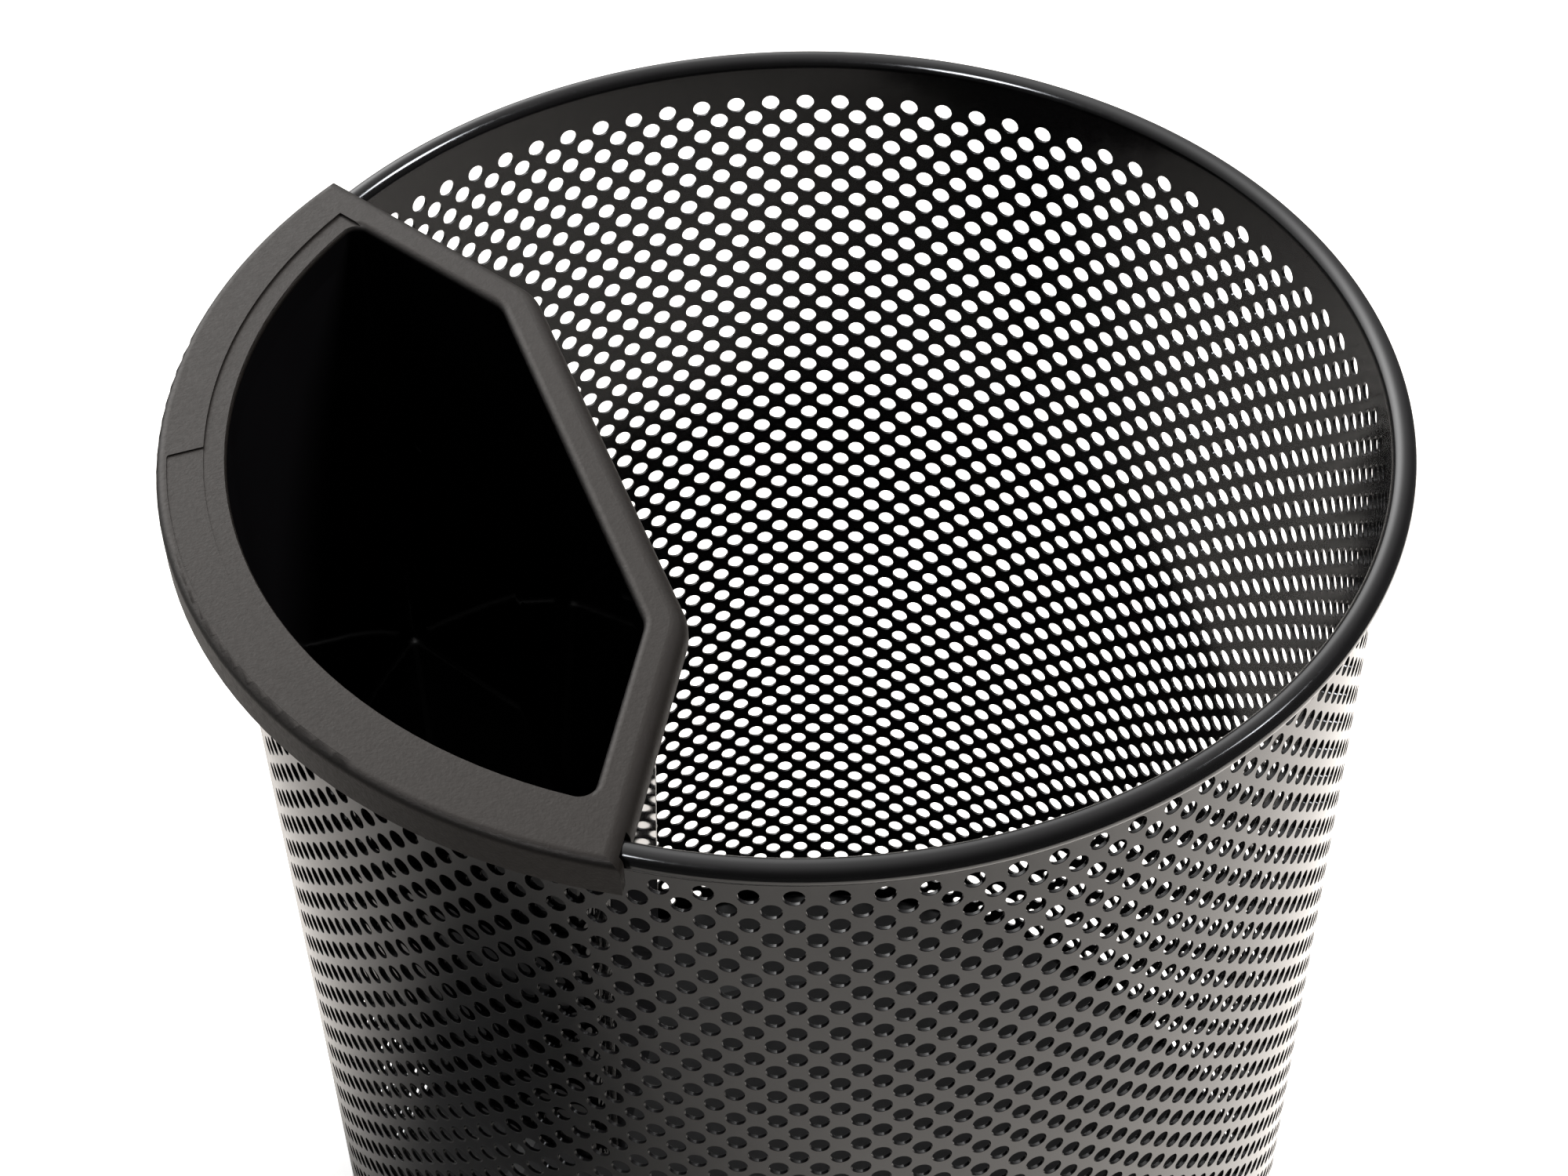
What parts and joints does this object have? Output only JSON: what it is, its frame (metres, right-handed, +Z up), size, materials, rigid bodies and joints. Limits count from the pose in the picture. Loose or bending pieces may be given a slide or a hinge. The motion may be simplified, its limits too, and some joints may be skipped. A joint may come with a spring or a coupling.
{
  "type": "wastebasket",
  "caption": "Round perforated steel wastebasket with a rolled rim, a pressed floor on a plastic base ring, and a wedge-shaped plastic caddy that hooks over the rim and lifts off.",
  "frame": {"origin": "the basket's axis at the floor, in the plane of the base ring's underside", "axes": "+Z up along the basket's axis; the caddy hangs on the -X side; the part is symmetric about the XZ plane"},
  "size_m": [0.267, 0.26, 0.3316],
  "materials": {
    "powder_coat": "satin black powder coat",
    "rim_wire_steel": "drawn, bare",
    "powder_coat_floor": "satin black powder coat",
    "base_ring_plastic": "moulded, matt",
    "caddy_plastic": "moulded, fine matt texture on the flange, smooth in the bucket"
  },
  "bodies": {
    "basket": {"basket_wall": "powder_coat", "rim_wire": "rim_wire_steel", "base_pan": "powder_coat_floor", "base_ring": "base_ring_plastic"},
    "caddy": {"caddy": "caddy_plastic"}
  },
  "joints": [
    {"name": "caddy_lift", "type": "slide", "parent": "basket", "child": "caddy", "axis": [0, 0, 1], "range_m": [0, 0.15]}
  ]
}
